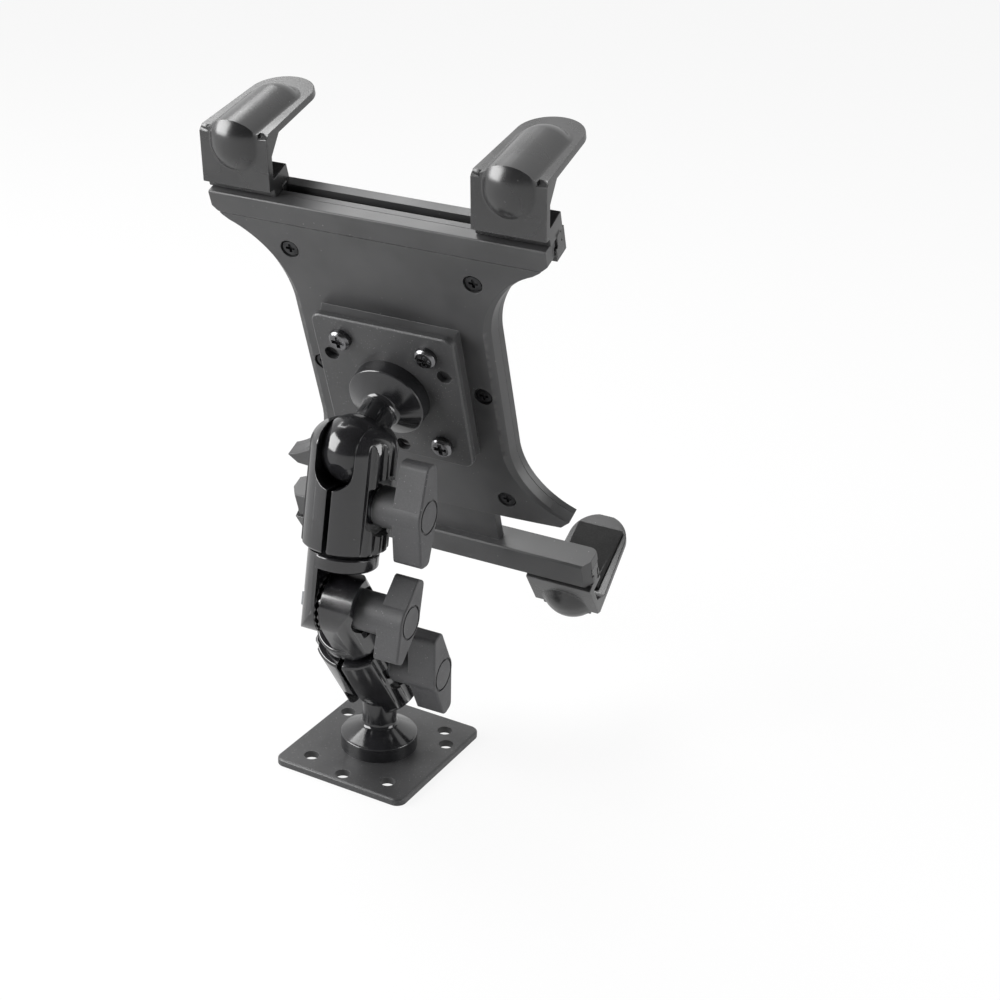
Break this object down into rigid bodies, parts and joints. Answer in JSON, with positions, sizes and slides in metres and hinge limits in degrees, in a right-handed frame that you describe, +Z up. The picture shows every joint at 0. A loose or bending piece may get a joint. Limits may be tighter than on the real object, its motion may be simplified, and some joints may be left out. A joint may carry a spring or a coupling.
{
  "type": "drill base tablet mount",
  "caption": "Screw-down base plate with a jointed ball arm that carries a spring tablet holder with sliding hook claws.",
  "frame": {"origin": "centre of the base plate at its underside", "axes": "+Z up out of the base plate, X across the tablet along the plate's width, +Y from the arm towards the tablet"},
  "size_m": [0.125, 0.1333, 0.224],
  "materials": {
    "black_powder_coat": "fine-textured black powder coat",
    "black_coated_ball": "smooth satin black coating",
    "black_enamel": "glossy black enamel on cast metal",
    "brass": "turned brass",
    "grey_knob_plastic": "dark grey glass-filled plastic",
    "zinc_steel": "zinc-plated steel",
    "black_steel_screw": "black oxide steel",
    "soft_rubber": "matt soft rubber",
    "satin_claw_plastic": "satin dark plastic",
    "black_holder_plastic": "satin black moulded plastic"
  },
  "bodies": {
    "base": {"base_plate": "black_powder_coat"},
    "lower_ball": {"base_ball": "black_coated_ball", "base_ball_screw": "black_steel_screw"},
    "lower_socket": {"lower_socket_right": "black_enamel", "lower_socket_left": "black_enamel", "lower_bolt": "zinc_steel", "lower_washer": "zinc_steel"},
    "lower_knob": {"lower_knob": "grey_knob_plastic", "lower_knob_insert": "brass"},
    "lower_knuckle": {"lower_knuckle": "black_enamel", "elbow_washer": "zinc_steel"},
    "elbow_knob": {"elbow_knob": "grey_knob_plastic", "elbow_knob_insert": "brass"},
    "upper_knuckle": {"upper_knuckle": "black_enamel", "elbow_bolt": "zinc_steel"},
    "upper_socket": {"upper_socket_right": "black_enamel", "upper_socket_left": "black_enamel", "upper_bolt": "zinc_steel", "upper_washer": "zinc_steel"},
    "upper_knob": {"upper_knob": "grey_knob_plastic", "upper_knob_insert": "brass"},
    "holder_ball": {"holder_ball": "black_coated_ball", "holder_ball_screw": "black_steel_screw"},
    "holder": {"adapter_plate": "black_powder_coat", "adapter_screws": "black_steel_screw", "back_cover": "black_holder_plastic", "front_tray": "black_holder_plastic", "cover_screws": "black_steel_screw"},
    "slider": {"slider_bar": "black_holder_plastic"},
    "claw_top_left": {"claw_top_left": "satin_claw_plastic", "grip_top_left": "soft_rubber"},
    "claw_top_right": {"claw_top_right": "satin_claw_plastic", "grip_top_right": "soft_rubber"},
    "claw_bottom_left": {"claw_bottom_left": "satin_claw_plastic", "grip_bottom_left": "soft_rubber"},
    "claw_bottom_right": {"claw_bottom_right": "satin_claw_plastic", "grip_bottom_right": "soft_rubber"}
  },
  "joints": [
    {"name": "base_spin", "type": "hinge", "parent": "base", "child": "lower_ball", "pos_m": [0, 0, 0.0295], "axis": [0, 0, 1], "continuous": true},
    {"name": "lower_tilt", "type": "hinge", "parent": "lower_ball", "child": "lower_socket", "pos_m": [0, 0, 0.0295], "axis": [0.9981, 0.0593, -0.0145], "range_deg": [-100, 50]},
    {"name": "lower_swivel", "type": "hinge", "parent": "lower_socket", "child": "lower_knuckle", "pos_m": [0.00238, -0.02999, 0.07044], "axis": [0.0468, -0.5903, 0.8058], "range_deg": [-60, 60]},
    {"name": "elbow_bend", "type": "hinge", "parent": "lower_knuckle", "child": "upper_knuckle", "pos_m": [0.00238, -0.02999, 0.07044], "axis": [-0.9981, -0.0593, 0.0145], "range_deg": [-110, 40]},
    {"name": "upper_swivel", "type": "hinge", "parent": "upper_knuckle", "child": "upper_socket", "pos_m": [0.00238, -0.02999, 0.07044], "axis": [0.0055, 0.1484, 0.9889], "range_deg": [-60, 60]},
    {"name": "upper_tilt", "type": "hinge", "parent": "upper_socket", "child": "holder_ball", "pos_m": [0.00266, -0.02245, 0.12067], "axis": [0.9981, 0.0593, -0.0145], "range_deg": [-25, 35]},
    {"name": "holder_spin", "type": "hinge", "parent": "holder_ball", "child": "holder", "pos_m": [0.00266, -0.02245, 0.12067], "axis": [0.0491, -0.9206, -0.3875], "continuous": true},
    {"name": "lower_knob_turn", "type": "hinge", "parent": "lower_socket", "child": "lower_knob", "pos_m": [0.00074, -0.00933, 0.04223], "axis": [0.9981, 0.0593, -0.0145], "continuous": true},
    {"name": "elbow_knob_turn", "type": "hinge", "parent": "lower_knuckle", "child": "elbow_knob", "pos_m": [0.00238, -0.02999, 0.07044], "axis": [0.9981, 0.0593, -0.0145], "continuous": true},
    {"name": "upper_knob_turn", "type": "hinge", "parent": "upper_socket", "child": "upper_knob", "pos_m": [0.00257, -0.02479, 0.10505], "axis": [0.9981, 0.0593, -0.0145], "continuous": true},
    {"name": "slider_travel", "type": "slide", "parent": "holder", "child": "slider", "axis": [-0.0363, 0.386, -0.9218], "range_m": [-0.0195, 0.02], "stiffness_N_per_m": 400, "springref_m": -0.0195},
    {"name": "claw_top_left_travel", "type": "slide", "parent": "holder", "child": "claw_top_left", "axis": [-0.9981, -0.0593, 0.0145], "range_m": [-0.03, 0]},
    {"name": "claw_top_right_travel", "type": "slide", "parent": "holder", "child": "claw_top_right", "axis": [0.9981, 0.0593, -0.0145], "range_m": [-0.03, 0]},
    {"name": "claw_bottom_left_travel", "type": "slide", "parent": "slider", "child": "claw_bottom_left", "axis": [-0.9981, -0.0593, 0.0145], "range_m": [-0.03, 0]},
    {"name": "claw_bottom_right_travel", "type": "slide", "parent": "slider", "child": "claw_bottom_right", "axis": [0.9981, 0.0593, -0.0145], "range_m": [-0.03, 0]}
  ]
}
